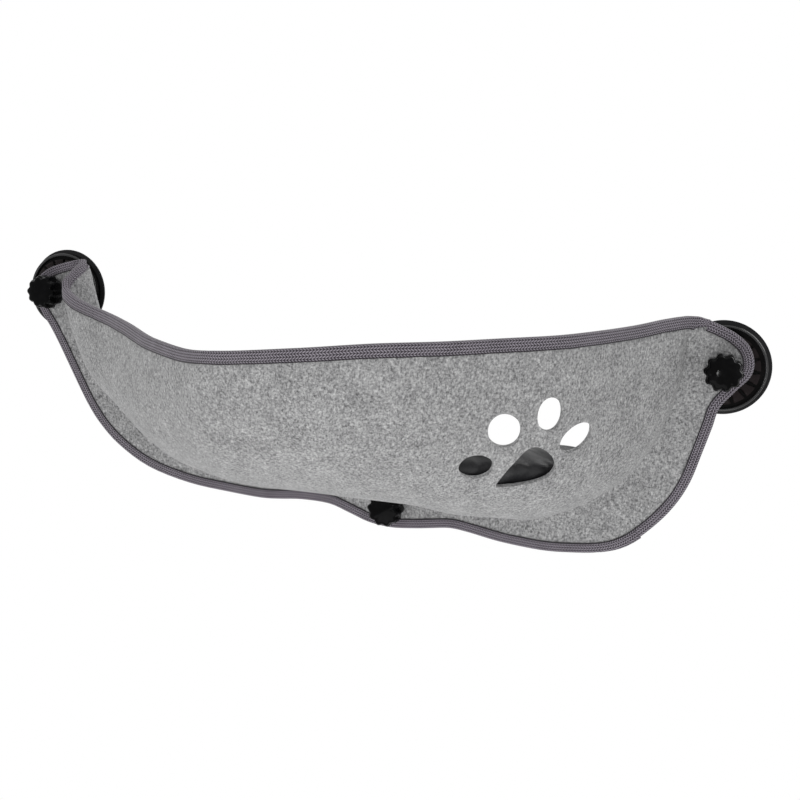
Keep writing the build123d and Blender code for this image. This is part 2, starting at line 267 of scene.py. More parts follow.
# Felt sling: the solid's own strips, in shares of half span, depth and drop, with a tighter valley
sling = {
    "halfSpan": 0.314, "depth": 0.1975, "drop": 0.158, "plane": 0.0245, "thickness": 0.004,
    "valleyRadius": 0.007, "wallDrop": 0.62, "wallSweep": 0.5, "wallLean": 0.35, "filletShare": 0.4,
    "columnsPerStrip": 5, "wallRows": 24, "filletRows": 5, "flangeRows": 8,
    "outlineSteps": 4, "trimReach": 0.0075, "trimHeight": 0.06,
    "trimPlate": (0.6, -0.4, 0.3),  # half width, bottom and top of the cutter
    "cups": {"left": (-0.314, 0), "right": (0.314, 0), "lower": (0.042, -0.158)},
    "studHole": 0.0046, "studDepth": 0.03, "studSteps": 32, "weld": 0.00002, "sharpAngle": 0.7,
}
# rim (x, out, z), valley (x, z), hem (x, z) and belly of each strip, from left to right
slingStrips = [
    ((-1.121, 0.000, 0.215), (-1.121, 0.114), (-1.121, -0.127), 0.000),
    ((-1.064, 0.000, 0.222), (-1.070, 0.120), (-1.099, -0.209), 0.000),
    ((-0.994, 0.000, 0.222), (-1.003, 0.127), (-1.076, -0.285), 0.000),
    ((-0.933, 0.000, 0.199), (-0.936, 0.120), (-1.051, -0.361), 0.000),
    ((-0.906, 0.008, 0.210), (-0.901, 0.125), (-1.025, -0.430), 0.000),
    ((-0.896, 0.038, 0.193), (-0.879, 0.089), (-1.013, -0.475), 0.010),
    ((-0.904, 0.084, 0.152), (-0.863, 0.051), (-0.997, -0.519), 0.020),
    ((-0.912, 0.119, 0.101), (-0.854, 0.000), (-0.984, -0.557), 0.035),
    ((-0.901, 0.154, 0.054), (-0.844, -0.057), (-0.971, -0.595), 0.061),
    ((-0.838, 0.215, 0.000), (-0.831, -0.184), (-0.949, -0.665), 0.101),
    ((-0.764, 0.276, -0.025), (-0.812, -0.316), (-0.920, -0.747), 0.101),
    ((-0.675, 0.357, -0.045), (-0.771, -0.481), (-0.879, -0.848), 0.061),
    ((-0.573, 0.484, -0.064), (-0.690, -0.625), (-0.796, -0.962), 0.020),
    ((-0.427, 0.686, -0.093), (-0.557, -0.800), (-0.653, -1.076), 0.000),
    ((-0.303, 0.838, -0.095), (-0.408, -0.895), (-0.478, -1.152), 0.000),
    ((-0.159, 0.970, -0.064), (-0.229, -0.915), (-0.261, -1.190), 0.020),
    ((0.038, 1.000, -0.002), (0.030, -0.868), (0.010, -1.228), 0.055),
    ((0.229, 0.929, 0.057), (0.235, -0.868), (0.235, -1.228), 0.055),
    ((0.357, 0.838, 0.085), (0.382, -0.920), (0.395, -1.228), 0.020),
    ((0.484, 0.711, 0.116), (0.525, -0.918), (0.573, -1.228), 0.000),
    ((0.608, 0.585, 0.147), (0.656, -0.823), (0.739, -1.177), 0.000),
    ((0.688, 0.433, 0.171), (0.755, -0.677), (0.860, -1.063), 0.000),
    ((0.771, 0.261, 0.202), (0.834, -0.468), (0.955, -0.854), 0.000),
    ((0.838, 0.129, 0.237), (0.879, -0.190), (1.013, -0.601), 0.000),
    ((0.876, 0.063, 0.253), (0.895, 0.000), (1.035, -0.475), 0.000),
    ((0.898, 0.025, 0.259), (0.904, 0.114), (1.051, -0.392), 0.000),
    ((0.920, 0.005, 0.260), (0.927, 0.165), (1.064, -0.335), 0.000),
    ((0.952, 0.000, 0.250), (0.959, 0.165), (1.076, -0.285), 0.000),
    ((1.000, 0.000, 0.260), (1.010, 0.160), (1.096, -0.228), 0.000),
    ((1.070, 0.000, 0.253), (1.080, 0.152), (1.115, -0.177), 0.000),
    ((1.127, 0.000, 0.241), (1.134, 0.139), (1.134, -0.127), 0.000),
]
# cut edge of the flange (x, z), from the left fold round the bottom to the right fold
flangeEdge = [
    (-0.933, 0.199), (-0.984, 0.165), (-1.025, 0.127), (-1.054, 0.070),
    (-1.065, 0.000), (-1.057, -0.063), (-1.038, -0.133), (-1.004, -0.220), (-0.971, -0.319),
    (-0.937, -0.430), (-0.891, -0.580), (-0.856, -0.685), (-0.815, -0.782), (-0.750, -0.891),
    (-0.645, -0.999), (-0.507, -1.059), (-0.374, -1.075), (-0.268, -1.079), (-0.207, -1.067),
    (-0.137, -1.048), (-0.051, -1.047), (0.014, -1.082), (0.076, -1.118), (0.143, -1.128),
    (0.213, -1.111), (0.258, -1.095), (0.318, -1.075), (0.376, -1.083), (0.465, -1.106),
    (0.580, -1.115), (0.662, -1.101), (0.745, -1.071), (0.811, -1.010), (0.874, -0.887),
    (0.922, -0.755), (0.954, -0.614), (0.975, -0.443), (0.991, -0.303), (1.002, -0.198),
    (1.038, -0.095), (1.067, -0.019), (1.073, 0.051), (1.057, 0.133), (1.022, 0.190),
    (0.984, 0.224), (0.951, 0.247),
]
lastStrip = len(slingStrips) - 1
stripColumns = list(zip(*[rim + valley + hem + (belly,) for rim, valley, hem, belly in slingStrips]))


def slopeAt(values, i):
    # flat where the values turn back, so that the curve never overshoots them
    if i <= 0 or i >= len(values) - 1:
        return 0
    before, after = values[i] - values[i - 1], values[i + 1] - values[i]
    return 0 if before * after <= 0 else 2 * before * after / (before + after)


def glideAt(values, k):
    # the value at strip k, which may lie between two strips
    i = min(int(k), len(values) - 2)
    t = k - i
    a, b = values[i], values[i + 1]
    fa, fb = slopeAt(values, i), slopeAt(values, i + 1)
    return a * (1 - t) + b * t + t * (1 - t) * ((1 - t) * (fa - b + a) - t * (fb - b + a))


def bezierAt(points, t):
    while len(points) > 1:
        points = [a.lerp(b, t) for a, b in zip(points, points[1:])]
    return points[0]


def stripLine(k, wallRows, filletRows, flangeRows):
    # one line down the felt: rim, wall, valley, flange
    k = max(0, min(k, lastStrip))
    x, out, z, vx, vz, hx, hz, belly = [glideAt(column, k) for column in stripColumns]
    half, drop, plane = sling["halfSpan"], sling["drop"], sling["plane"]
    belly *= sling["depth"]
    rim = Vector((x * half, -plane - out * sling["depth"], z * drop))
    valley = Vector((vx * half, -plane, vz * drop))
    hem = Vector((hx * half, -plane, hz * drop))
    down = (hem - valley).normalized()
    depth = -plane - rim.y
    full = sling["valleyRadius"]
    radius = min(full, sling["filletShare"] * depth)
    back = min(full - radius, (valley - rim).length / 2)
    foot = valley + Vector((0, -1, 0)) * radius - down * back
    flat = valley + down * (full + radius) / 2
    reach = valley - rim
    lean = Vector((reach.x * sling["wallLean"], 0, reach.z)) * sling["wallDrop"]
    low = (foot - rim).length / 3 * (1 - radius / full)
    first = rim + lean + down * belly
    second = foot + Vector((0, -1, 0)) * depth * sling["wallSweep"] - down * low + down * belly
    line = [bezierAt([rim, first, second, foot], t) for t in wallRows]
    line += [bezierAt([foot, valley, flat], t) for t in filletRows]
    line += [flat.lerp(hem, t) for t in flangeRows]
    return line


def evenShares(count, ends=True):
    return [i / count for i in range(count + 1)] if ends else [i / (count + 1) for i in range(1, count + 1)]


def smoothOutline():
    # a smooth line through the cut edge, with a few steps to each span
    steps, last = sling["outlineSteps"], len(flangeEdge) - 1
    points = []
    for step in range(last * steps + 1):
        i = min(step // steps, last - 1)
        t = step / steps - i
        found = []
        for values in zip(*flangeEdge):
            a, b = values[i], values[i + 1]
            fa = (b - values[max(i - 1, 0)]) / (2 if i > 0 else 1)
            fb = (values[min(i + 2, last)] - a) / (2 if i + 2 <= last else 1)
            found.append(a * (1 - t) + b * t + t * (1 - t) * ((1 - t) * (fa - b + a) - t * (fb - b + a)))
        points.append(Vector((found[0] * sling["halfSpan"], 0, found[1] * sling["drop"])))
    return points


outlinePoints = smoothOutline()

# Paw print, in shares of its size on its own plane
paw = {
    "place": (0.1754, -0.1374, -0.068), "facing": (0.477, -0.813, -0.334), "size": 0.028, "cut": 0.03,
    "toeSteps": 40, "padSteps": 6,
    "toes": [  # across, up, half width, half height and turn in degrees
        (-1.343, -0.572, 0.419, 0.50, 82), (-0.79, 0.626, 0.455, 0.543, 41),
        (0.431, 1.131, 0.373, 0.507, 12), (1.429, 0.381, 0.402, 0.53, -58),
    ],
    "pad": [
        (-0.56, -1.28), (-0.50, -0.87), (-0.36, -0.51), (-0.18, -0.17), (-0.02, 0.07),
        (0.18, 0.17), (0.40, 0.13), (0.66, -0.03), (0.87, -0.24), (1.00, -0.49),
        (0.96, -0.74), (0.81, -0.91), (0.54, -1.05), (0.19, -1.16), (-0.18, -1.25),
    ],
}


def pawFrame():
    normal = Vector(paw["facing"]).normalized()
    across = Vector((-normal.y, normal.x, 0)).normalized()
    up = normal.cross(across)
    return Matrix.Translation(paw["place"]) @ Matrix((across, up, normal)).transposed().to_4x4()


def newVerts(geometry):
    return [item for item in geometry if isinstance(item, bmesh.types.BMVert)]


def prismInto(mesh, ring, cut):
    face = mesh.faces.new([mesh.verts.new((x, y, -cut)) for x, y in ring])
    grown = bmesh.ops.extrude_face_region(mesh, geom=[face])
    bmesh.ops.translate(mesh, verts=newVerts(grown["geom"]), vec=(0, 0, 2 * cut))


def closedSpline(points, steps):
    count = len(points)
    found = []
    for i in range(count):
        a, b, c, d = [Vector(points[(i + shift) % count]) for shift in (-1, 0, 1, 2)]
        for step in range(steps):
            t = step / steps
            found.append(0.5 * (
                2 * b + (c - a) * t + (2 * a - 5 * b + 4 * c - d) * t * t + (3 * b - a - 3 * c + d) * t ** 3))
    return found


def cutterPiece(name, mesh):
    bmesh.ops.recalc_face_normals(mesh, faces=mesh.faces)
    return finished(name, mesh)


def pawCutter():
    mesh = bmesh.new()
    size, steps = paw["size"], paw["toeSteps"]
    prismInto(mesh, [point * size for point in closedSpline(paw["pad"], paw["padSteps"])], paw["cut"])
    for x, y, wide, high, turn in paw["toes"]:
        toe = Matrix.Rotation(math.radians(turn), 2)
        angles = [2 * math.pi * i / steps for i in range(steps)]
        ring = [toe @ Vector((math.cos(angle) * wide, math.sin(angle) * high)) for angle in angles]
        prismInto(mesh, [(spot + Vector((x, y))) * size for spot in ring], paw["cut"])
    mesh.transform(pawFrame())
    return cutterPiece("pawCutter", mesh)


def trimCutter():
    # a plate with the flange's outline as its opening
    mesh = bmesh.new()
    reach = sling["trimReach"]
    high = sling["trimHeight"]
    side, bottom, top = sling["trimPlate"]
    inner = [(p.x, p.z) for p in outlinePoints]
    inner += [(inner[-1][0], high), (inner[0][0], high)]
    outer = [(-side, bottom), (side, bottom), (side, top), (-side, top)]
    edges = []
    for ring in (inner, outer):
        verts = [mesh.verts.new((x, -sling["plane"] - reach, z)) for x, z in ring]
        edges += [mesh.edges.new((a, b)) for a, b in zip(verts, verts[1:] + verts[:1])]
    filled = bmesh.ops.triangle_fill(mesh, use_beauty=True, use_dissolve=False, edges=edges)
    faces = [item for item in filled["geom"] if isinstance(item, bmesh.types.BMFace)]
    grown = bmesh.ops.extrude_face_region(mesh, geom=faces)
    bmesh.ops.translate(mesh, verts=newVerts(grown["geom"]), vec=(0, 2 * reach, 0))
    return cutterPiece("trimCutter", mesh)


def studCutter():
    mesh = bmesh.new()
    radius = sling["studHole"]
    for x, z in sling["cups"].values():
        place = Matrix.Translation((x, -sling["plane"], z)) @ Matrix.Rotation(math.pi / 2, 4, "X")
        bmesh.ops.create_cone(
            mesh, cap_ends=True, segments=sling["studSteps"], radius1=radius, radius2=radius,
            depth=sling["studDepth"], matrix=place)
    return cutterPiece("studCutter", mesh)


def makeFelt(material):
    wall = evenShares(sling["wallRows"])
    fillet = evenShares(sling["filletRows"], ends=False)
    flange = evenShares(sling["flangeRows"])
    columns = lastStrip * sling["columnsPerStrip"]
    rows = len(wall) + len(fillet) + len(flange) - 1
    lines = [stripLine(lastStrip * i / columns, wall, fillet, flange) for i in range(columns + 1)]

    def placeAt(u, v):
        return lines[round(u * columns)][round(v * rows)]

    piece = finished("feltSling", gridMesh(columns, rows, placeAt, lambda u, v: (u, v)), material)
    thickened(piece, sling["thickness"], offset=0, even=True)
    for cutter, solver in ((pawCutter(), "FAST"), (trimCutter(), "EXACT"), (studCutter(), "EXACT")):
        cut = piece.modifiers.new("cut", "BOOLEAN")
        cut.operation = "DIFFERENCE"
        cut.solver = solver
        cut.object = cutter
        settled(piece)
        bpy.data.objects.remove(cutter)
    sharpened(piece, sling["sharpAngle"], sling["weld"])
    painted(piece, material)
    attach(piece, "frame")
    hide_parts("felt_sling")
    print("felt:", len(piece.data.polygons), "faces")


# Binding tape, folded over the rim and over the cut edge, with its lapped end
tape = {
    "rimWidth": 0.0094, "flangeWidth": 0.0082, "rimGap": 0.0007, "flangeGap": 0.0003, "thickness": 0.0006,
    "skinShare": 0.92, "lift": 0.27, "edgeOut": 0.00005, "rowsPerSide": 6, "edgeRows": 6, "sharpAngle": 0.9,
    "rimSpan": (0.104, 0.899), "rimColumns": 190, "narrowFrom": 0.86, "narrowTo": 0.5,
    "waver": 0.0003, "waverPitch": 60, "waverSeed": 3,
    "lapSpan": (0.69, 0.7235), "lapGap": 0.0009, "lapLift": 0.62, "lapLiftFrom": 0.4,
    "walkWall": [0, 0.06, 0.12, 0.18, 0.25, 0.38, 0.52, 0.66, 0.8, 0.92, 1], "walkFillet": [0.33, 0.67],
    "walkFlange": [0, 0.4, 1], "walkSide": 0.06, "walkStep": 0.002,
}


def walkLine(points, distance):
    for a, b in zip(points, points[1:]):
        step = (b - a).length
        if distance <= step:
            return a.lerp(b, distance / step)
        distance -= step
    return points[-1]


def foldedSection(depths, lift):
    # depth and side across the tape: up the front face, over the felt's edge, down the rear
    section = [(depth, 1) for depth in depths[::-1]]
    turns = tape["edgeRows"]
    for i in range(1, turns):
        angle = math.pi * i / turns
        section.append((-lift * math.sin(angle) - tape["edgeOut"], math.cos(angle)))
    section += [(depth, -1) for depth in depths]
    return section


def tapeAlong(name, stations, width, gap, material, waver=0, lift=tape["lift"], liftFrom=1):
    # a station takes a depth from the edge, and gives the point there, the way inwards and the normal
    half = sling["thickness"] / 2 + gap + tape["thickness"]
    depths = [width * i / tape["rowsPerSide"] for i in range(tape["rowsPerSide"] + 1)]
    section = foldedSection(depths, half * lift)
    edge = [station(0)[0] for station in stations]
    lengths = runningLengths(edge)
    arc = runningLengths([Vector((depth, side * half)) for depth, side in section])
    columns, rows = len(stations) - 1, len(section) - 1

    def placeAt(u, v):
        column = round(u * columns)
        depth, side = section[round(v * rows)]
        point, inward, normal = stations[column](max(depth, 0))
        if depth > 0:
            spot = Vector((lengths[column] * tape["waverPitch"], side, tape["waverSeed"]))
            point = point + inward * (noise.noise(spot) * waver * (depth / width))
        else:
            point = point + inward * depth * (liftFrom + (1 - liftFrom) * u)
        return point + normal * side * half

    mesh = gridMesh(columns, rows, placeAt, lambda u, v: (lengths[round(u * columns)], arc[round(v * rows)]))
    _, inward, normal = stations[0](0)
    if (edge[1] - edge[0]).cross(inward).dot(normal) > 0:  # outer face outwards, whichever way the path runs
        bmesh.ops.reverse_faces(mesh, faces=mesh.faces)
    piece = finished(name, mesh, material)
    thickened(piece, tape["thickness"] * tape["skinShare"], offset=-1)
    sharpened(piece, tape["sharpAngle"])
    return piece


def rimStation(k):
    lines = [
        stripLine(k + shift, tape["walkWall"], tape["walkFillet"], tape["walkFlange"])
        for shift in (-tape["walkSide"], 0, tape["walkSide"])
    ]
    late = max(0, (k / lastStrip - tape["narrowFrom"]) / (tape["rimSpan"][1] - tape["narrowFrom"]))
    narrow = 1 - (1 - tape["narrowTo"]) * late  # the tape narrows towards its right end

    def at(depth):
        depth *= narrow
        before, here, after = [walkLine(line, depth) for line in lines]
        further = walkLine(lines[1], depth + tape["walkStep"])
        nearer = walkLine(lines[1], max(depth - tape["walkStep"], 0))
        inward = (further - nearer).normalized()
        normal = inward.cross(after - before).normalized()
        return here, inward, normal

    return at


def makeRimTape(material):
    first, last = [share * lastStrip for share in tape["rimSpan"]]
    count = tape["rimColumns"]
    stations = [rimStation(first + (last - first) * i / count) for i in range(count + 1)]
    piece = tapeAlong("rimTape", stations, tape["rimWidth"], tape["rimGap"], material, tape["waver"])
    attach(piece, "frame")
    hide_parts("rim_binding")
    return stations


def outlineStation(i):
    before, after = outlinePoints[max(i - 1, 0)], outlinePoints[min(i + 1, len(outlinePoints) - 1)]
    tangent = (after - before).normalized()
    inward = Vector((-tangent.z, 0, tangent.x))
    base = outlinePoints[i] + Vector((0, -sling["plane"], 0))

    def at(depth):
        return base + inward * depth, inward, Vector((0, -1, 0))

    return at


def makeFlangeTape(material):
    stations = [outlineStation(i) for i in range(len(outlinePoints))]
    piece = tapeAlong("flangeTape", stations, tape["flangeWidth"], tape["flangeGap"], material, tape["waver"])
    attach(piece, "frame")
    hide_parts("flange_binding")
    low, high = [round(share * (len(stations) - 1)) for share in tape["lapSpan"]]
    lap = tapeAlong(
        "tapeLap", stations[low:high + 1], tape["flangeWidth"], tape["lapGap"], material,
        lift=tape["lapLift"], liftFrom=tape["lapLiftFrom"])
    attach(lap, "frame")
    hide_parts("binding_overlap")
    return stations


# Stitching along both tapes
thread = {
    "inset": 0.001, "pitch": 0.0033, "length": 0.0029, "rimRadius": 0.00024, "flangeRadius": 0.0004,
    "sides": 6, "proud": 0.4, "endShare": 0.4, "endDip": 1.2,
}


def makeStitches(edge, stations, material):
    half = sling["thickness"] / 2 + tape[edge + "Gap"] + tape["thickness"]
    width, radius = tape[edge + "Width"], thread[edge + "Radius"]
    pitch, length = thread["pitch"], thread["length"]
    mesh = bmesh.new()
    for side in (1, -1):
        points, normals = [], []
        for station in stations:
            point, _, normal = station(width - thread["inset"])
            points.append(point + normal * side * (half + radius * thread["proud"]))
            normals.append(normal * side)
        distances = runningLengths(points)
        spot, i = pitch / 2, 0
        while spot < distances[-1] - pitch:
            while distances[i + 1] < spot:
                i += 1
            share = (spot - distances[i]) / (distances[i + 1] - distances[i])
            centre = points[i].lerp(points[i + 1], share)
            along = (points[i + 1] - points[i]).normalized()
            normal = normals[i].lerp(normals[i + 1], share).normalized()
            across = normal.cross(along).normalized()
            place = Matrix.Translation(centre) @ Matrix((across, normal, along)).transposed().to_4x4()
            made = bmesh.ops.create_cone(
                mesh, cap_ends=True, segments=thread["sides"], radius1=radius, radius2=radius, depth=length,
                matrix=place)
            for vert in made["verts"]:  # both ends of a stitch dive into the tape
                if abs((vert.co - centre).dot(along)) > length * thread["endShare"]:
                    vert.co -= normal * radius * thread["endDip"]
            spot += pitch
    piece = finished(edge + "Stitches", mesh, material)
    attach(piece, "frame")


# Clamping knobs
knob = {
    "lobes": 10, "lobeReach": 0.00115, "lobePower": 2.4, "stepsPerLobe": 14, "radius": 0.01485, "back": 0.028,
    "depth": 0.023, "sharpAngle": 0.9,
    "profile": [  # radius share, share of the lobes, height share
        (0.55, 0, 0), (0.86, 0, 0), (0.875, 0, 0.02), (0.875, 0, 0.17), (0.89, 0.15, 0.2),
        (0.975, 0.8, 0.22), (1.0, 1, 0.25), (1.0, 1, 0.5), (1.0, 1, 0.72), (0.985, 1, 0.77),
        (0.94, 0.95, 0.8), (0.925, 0.9, 0.81), (0.915, 0.85, 0.87), (0.885, 0.7, 0.925),
        (0.8, 0.45, 0.965), (0.6, 0.15, 0.985), (0.35, 0, 0.995), (0.12, 0, 1),
    ],
}


def makeKnob(side, material):
    x, z = sling["cups"][side]
    steps = knob["lobes"] * knob["stepsPerLobe"]
    mesh = bmesh.new()
    bmesh.ops.create_circle(mesh, cap_ends=False, segments=steps, radius=1)

    def dress(verts, wide, lobed, height):
        for vert in verts:
            angle = math.atan2(vert.co.y, vert.co.x)
            swell = 1 - abs(math.sin(angle * knob["lobes"] / 2)) ** knob["lobePower"]
            radius = knob["radius"] * wide + knob["lobeReach"] * lobed * (2 * swell - 1)
            vert.co = (math.cos(angle) * radius, math.sin(angle) * radius, knob["depth"] * height)

    base = ring = list(mesh.edges)
    dress(mesh.verts, *knob["profile"][0])
    for wide, lobed, height in knob["profile"][1:]:
        grown = bmesh.ops.extrude_edge_only(mesh, edges=ring)["geom"]
        verts = set(newVerts(grown))
        ring = [item for item in grown if isinstance(item, bmesh.types.BMEdge) and set(item.verts) <= verts]
        dress(verts, wide, lobed, height)
    bmesh.ops.holes_fill(mesh, edges=ring, sides=steps)
    bmesh.ops.holes_fill(mesh, edges=base, sides=steps)
    bmesh.ops.recalc_face_normals(mesh, faces=mesh.faces)
    mesh.transform(Matrix.Translation((x, -knob["back"], z)) @ Matrix.Rotation(math.pi / 2, 4, "X"))
    piece = finished("lobedKnob_" + side, mesh, material, knob["sharpAngle"])
    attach(piece, "knob_" + side + "_body")
    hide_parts("knob_" + side)


# Ridge and smoked panels on the cup housings
housing = {
    "shares": {"left": 1, "right": 1, "lower": 0.62},  # the lower cup is a smaller one
    "ridgeAt": 0.035, "ridgeHeight": 0.0096, "ridgeRadius": 0.0012, "ridgeFlat": 0.7, "ridgePoints": 18,
    "ridgeSteps": 96, "panels": 16, "panelGrid": (5, 6), "panelFrom": 0.018, "panelTo": 0.0306,
    "dome": 0.0284, "domeEdge": 0.0105, "hub": 0.0089, "hubHeight": 0.0203,
    "gap": 0.0012, "proud": 0.0004, "thickness": 0.0005,
}


def makeRidge(side, material):
    x, z = sling["cups"][side]
    at = housing["ridgeAt"] * housing["shares"][side]
    radius, count = housing["ridgeRadius"], housing["ridgePoints"]
    mesh = bmesh.new()
    verts = []
    for i in range(count):
        angle = 2 * math.pi * i / count
        height = housing["ridgeHeight"] + radius * housing["ridgeFlat"] * math.sin(angle)
        verts.append(mesh.verts.new((x + at + radius * math.cos(angle), -height, z)))
    edges = [mesh.edges.new(pair) for pair in zip(verts, verts[1:] + verts[:1])]
    bmesh.ops.spin(
        mesh, geom=verts + edges, cent=(x, 0, z), axis=(0, 1, 0), dvec=(0, 0, 0), angle=2 * math.pi,
        steps=housing["ridgeSteps"], use_merge=True)
    bmesh.ops.recalc_face_normals(mesh, faces=mesh.faces)
    piece = finished("housingRidge_" + side, mesh, material)
    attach(piece, "frame")


def makePanels(side, material):
    x, z = sling["cups"][side]
    dome, near, far = [housing[name] * housing["shares"][side] for name in ("dome", "panelFrom", "panelTo")]
    low, high = housing["domeEdge"], housing["hubHeight"]
    across, along = housing["panelGrid"]
    mesh = bmesh.new()
    for i in range(housing["panels"]):
        grid = bmesh.ops.create_grid(mesh, x_segments=across, y_segments=along, size=0.5)
        for vert in grid["verts"]:  # laid on the dome, from near the hub out to its edge
            radius = near + (far - near) * (vert.co.y + 0.5)
            half = math.pi / housing["panels"] - housing["gap"] / radius
            angle = 2 * math.pi * (i + 0.5) / housing["panels"] + 2 * vert.co.x * half
            rise = max(0, dome - radius) / (dome - housing["hub"])
            height = low + (high - low) * rise + housing["proud"]
            vert.co = (x + radius * math.cos(angle), -height, z + radius * math.sin(angle))
    mesh.normal_update()
    if sum(face.normal.y for face in mesh.faces) > 0:
        bmesh.ops.reverse_faces(mesh, faces=mesh.faces)
    piece = finished("housingPanels_" + side, mesh, material)
    thickened(piece, housing["thickness"], offset=-1)
    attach(piece, "frame")


# Cushion: swelled from its solid, and sunk at the rear behind the paw print
pad = {
    "weld": 0.00005, "voxel": 0.005, "pressure": 4, "frames": 20,
    "sideRoom": 0.0009, "topRoom": 0.003, "topFrom": 0.55,
    "fall": 0.0159, "fallFrom": -0.115, "fallOver": 0.07,
    "dipsAt": 0.06, "dipsOver": 0.06, "risesAt": 0.125, "risesOver": 0.075, "risesTo": 0.85,
}


def eased(share):
    share = max(0, min(1, share))
    return share * share * (3 - 2 * share)


def easedAlong(value, start, over):
    return eased((value - start) / over)


def makeCushion(material):
    mesh = bmesh.new()
    mesh.from_mesh(nodes["cushion"].data)
    bmesh.ops.remove_doubles(mesh, verts=mesh.verts, dist=pad["weld"])
    piece = finished("cushionPad", mesh, material)
    voxels = piece.modifiers.new("voxels", "REMESH")
    voxels.mode = "VOXEL"
    voxels.voxel_size = pad["voxel"]
    settled(piece)
    start = [vert.co.copy() for vert in piece.data.vertices]
    low, top = min(point.z for point in start), max(point.z for point in start)
    cloth = piece.modifiers.new("swell", "CLOTH")
    cloth.settings.use_pressure = True
    cloth.settings.uniform_pressure_force = pad["pressure"]
    cloth.settings.effector_weights.gravity = 0
    cloth.point_cache.frame_end = pad["frames"]
    for step in range(1, pad["frames"] + 1):
        scene.frame_set(step)
    settled(piece)
    scene.frame_set(1)
    for vert, was in zip(piece.data.vertices, start):
        moved = vert.co - was
        height = (was.z - low) / (top - low)
        rise = max(0, height - pad["topFrom"]) / (1 - pad["topFrom"])
        room = pad["sideRoom"] + pad["topRoom"] * rise * rise
        if moved.length > room:
            moved *= room / moved.length
        vert.co = was + moved
        back = easedAlong(was.y, pad["fallFrom"], pad["fallOver"])
        dip = easedAlong(was.x, pad["dipsAt"], pad["dipsOver"])
        dip *= 1 - pad["risesTo"] * easedAlong(was.x, pad["risesAt"], pad["risesOver"])
        vert.co.z -= pad["fall"] * back * dip * eased(height)
    for face in piece.data.polygons:
        face.use_smooth = True
    finer = piece.modifiers.new("finer", "SUBSURF")
    finer.levels = finer.render_levels = 1
    settled(piece)
    painted(piece, material)
    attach(piece, "cushion_body")
    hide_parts("cushion")
    print("cushion:", len(piece.data.polygons), "faces")


# Materials. A noise is its scale, detail and roughness, and a drawn out one has its stretch and turn too.
# A bump is its strength and distance.
feltLook = {
    "flecks": (430, 3, 0.7, (1, 1, 0.6), (0.3, 0.5, 0.6)),
    "crossFlecks": (640, 2, 0.7, (0.6, 1, 1), (0.9, -0.4, -0.7)),
    "clouds": (55, 3, 0.55),
    "fibres": (820, 2, 0.7, (1, 0.8, 0.5), (0.2, 0.7, 0.3)),
    "shares": {"flecks": 0.26, "crossFlecks": 0.32, "clouds": 0.1, "fibres": 0.32}, "fibreHeight": 0.8,
    "tones": [
        (0.36, (0.07, 0.07, 0.072)), (0.45, (0.225, 0.225, 0.228)),
        (0.52, (0.37, 0.37, 0.372)), (0.62, (0.62, 0.62, 0.62)),
    ],
    "shader": {"Roughness": 0.95, "Specular IOR Level": 0.15, "Sheen Weight": 0.25, "Sheen Roughness": 0.6},
    "bump": (0.5, 0.0006),
}


def feltMaterial():
    material, tree, shader = newMaterial("greyFelt")
    coords = objectCoords(tree)
    fluff = {name: noiseAt(tree, coords, *feltLook[name]) for name in feltLook["shares"]}
    mixed = weighted(tree, [(fluff[name], share) for name, share in feltLook["shares"].items()])
    colourInto(tree, shader, mixed, feltLook["tones"])
    setSockets(shader, feltLook["shader"])
    height = weighted(tree, [(fluff["flecks"], 1), (fluff["fibres"], feltLook["fibreHeight"])])
    bumpInto(tree, shader, height, *feltLook["bump"])
    return material


tapeLook = {
    "fold": 0.0022, "pitch": 0.0024, "slant": 1.15, "rib": 0.42, "groove": 0.85, "groovePower": 3,
    "relief": 0.9, "level": 0.72, "seamShadeWidth": 0.0014,
    "shade": (70, 3, 0.6), "fuzz": (900, 2, 0.6), "shares": (0.62, 0.2, 0.2),
    "tones": [(0.26, (0.022, 0.019, 0.023)), (0.5, (0.103, 0.093, 0.108)), (0.76, (0.335, 0.305, 0.35))],
    "shader": {"Roughness": 0.85, "Specular IOR Level": 0.25, "Sheen Weight": 0.2},
    "bump": (0.6, 0.0004),
}


def tapeMaterial():
    material, tree, shader = newMaterial("greyTape")
    parts = tree.nodes.new("ShaderNodeSeparateXYZ")
    tree.links.new(tree.nodes.new("ShaderNodeTexCoord").outputs["UV"], parts.inputs[0])
    along, across = parts.outputs["X"], parts.outputs["Y"]
    # herringbone: diagonal ribs that turn back at each lengthwise groove
    fold = mathNode(tree, "PINGPONG", across, tapeLook["fold"])
    diagonal = mathNode(tree, "ADD", along, mathNode(tree, "MULTIPLY", fold, tapeLook["slant"]))
    rib = mathNode(tree, "SINE", mathNode(tree, "MULTIPLY", diagonal, 2 * math.pi / tapeLook["pitch"]))
    offCentre = mathNode(tree, "SUBTRACT", mathNode(tree, "MULTIPLY", fold, 2 / tapeLook["fold"]), 1)
    groove = mathNode(tree, "POWER", mathNode(tree, "ABSOLUTE", offCentre), tapeLook["groovePower"])
    relief = weighted(tree, [(rib, tapeLook["rib"]), (groove, -tapeLook["groove"])])
    relief = mathNode(tree, "MULTIPLY", relief, tapeLook["relief"])
    relief = mathNode(tree, "ADD", relief, tapeLook["level"], clamp=True)
    seamShade = mathNode(tree, "DIVIDE", across, tapeLook["seamShadeWidth"])
    seamShade = mathNode(tree, "SUBTRACT", 1, seamShade, clamp=True)  # painted shade of the gap along the tape's inner edge, beside the stitches; the bump also presses the same strip in
    weave = mathNode(tree, "SUBTRACT", relief, seamShade, clamp=True)
    coords = objectCoords(tree)
    shade, fuzz = [noiseAt(tree, coords, *tapeLook[name]) for name in ("shade", "fuzz")]
    colourInto(tree, shader, weighted(tree, zip((weave, shade, fuzz), tapeLook["shares"])), tapeLook["tones"])
    setSockets(shader, tapeLook["shader"])
    bumpInto(tree, shader, weave, *tapeLook["bump"])
    return material


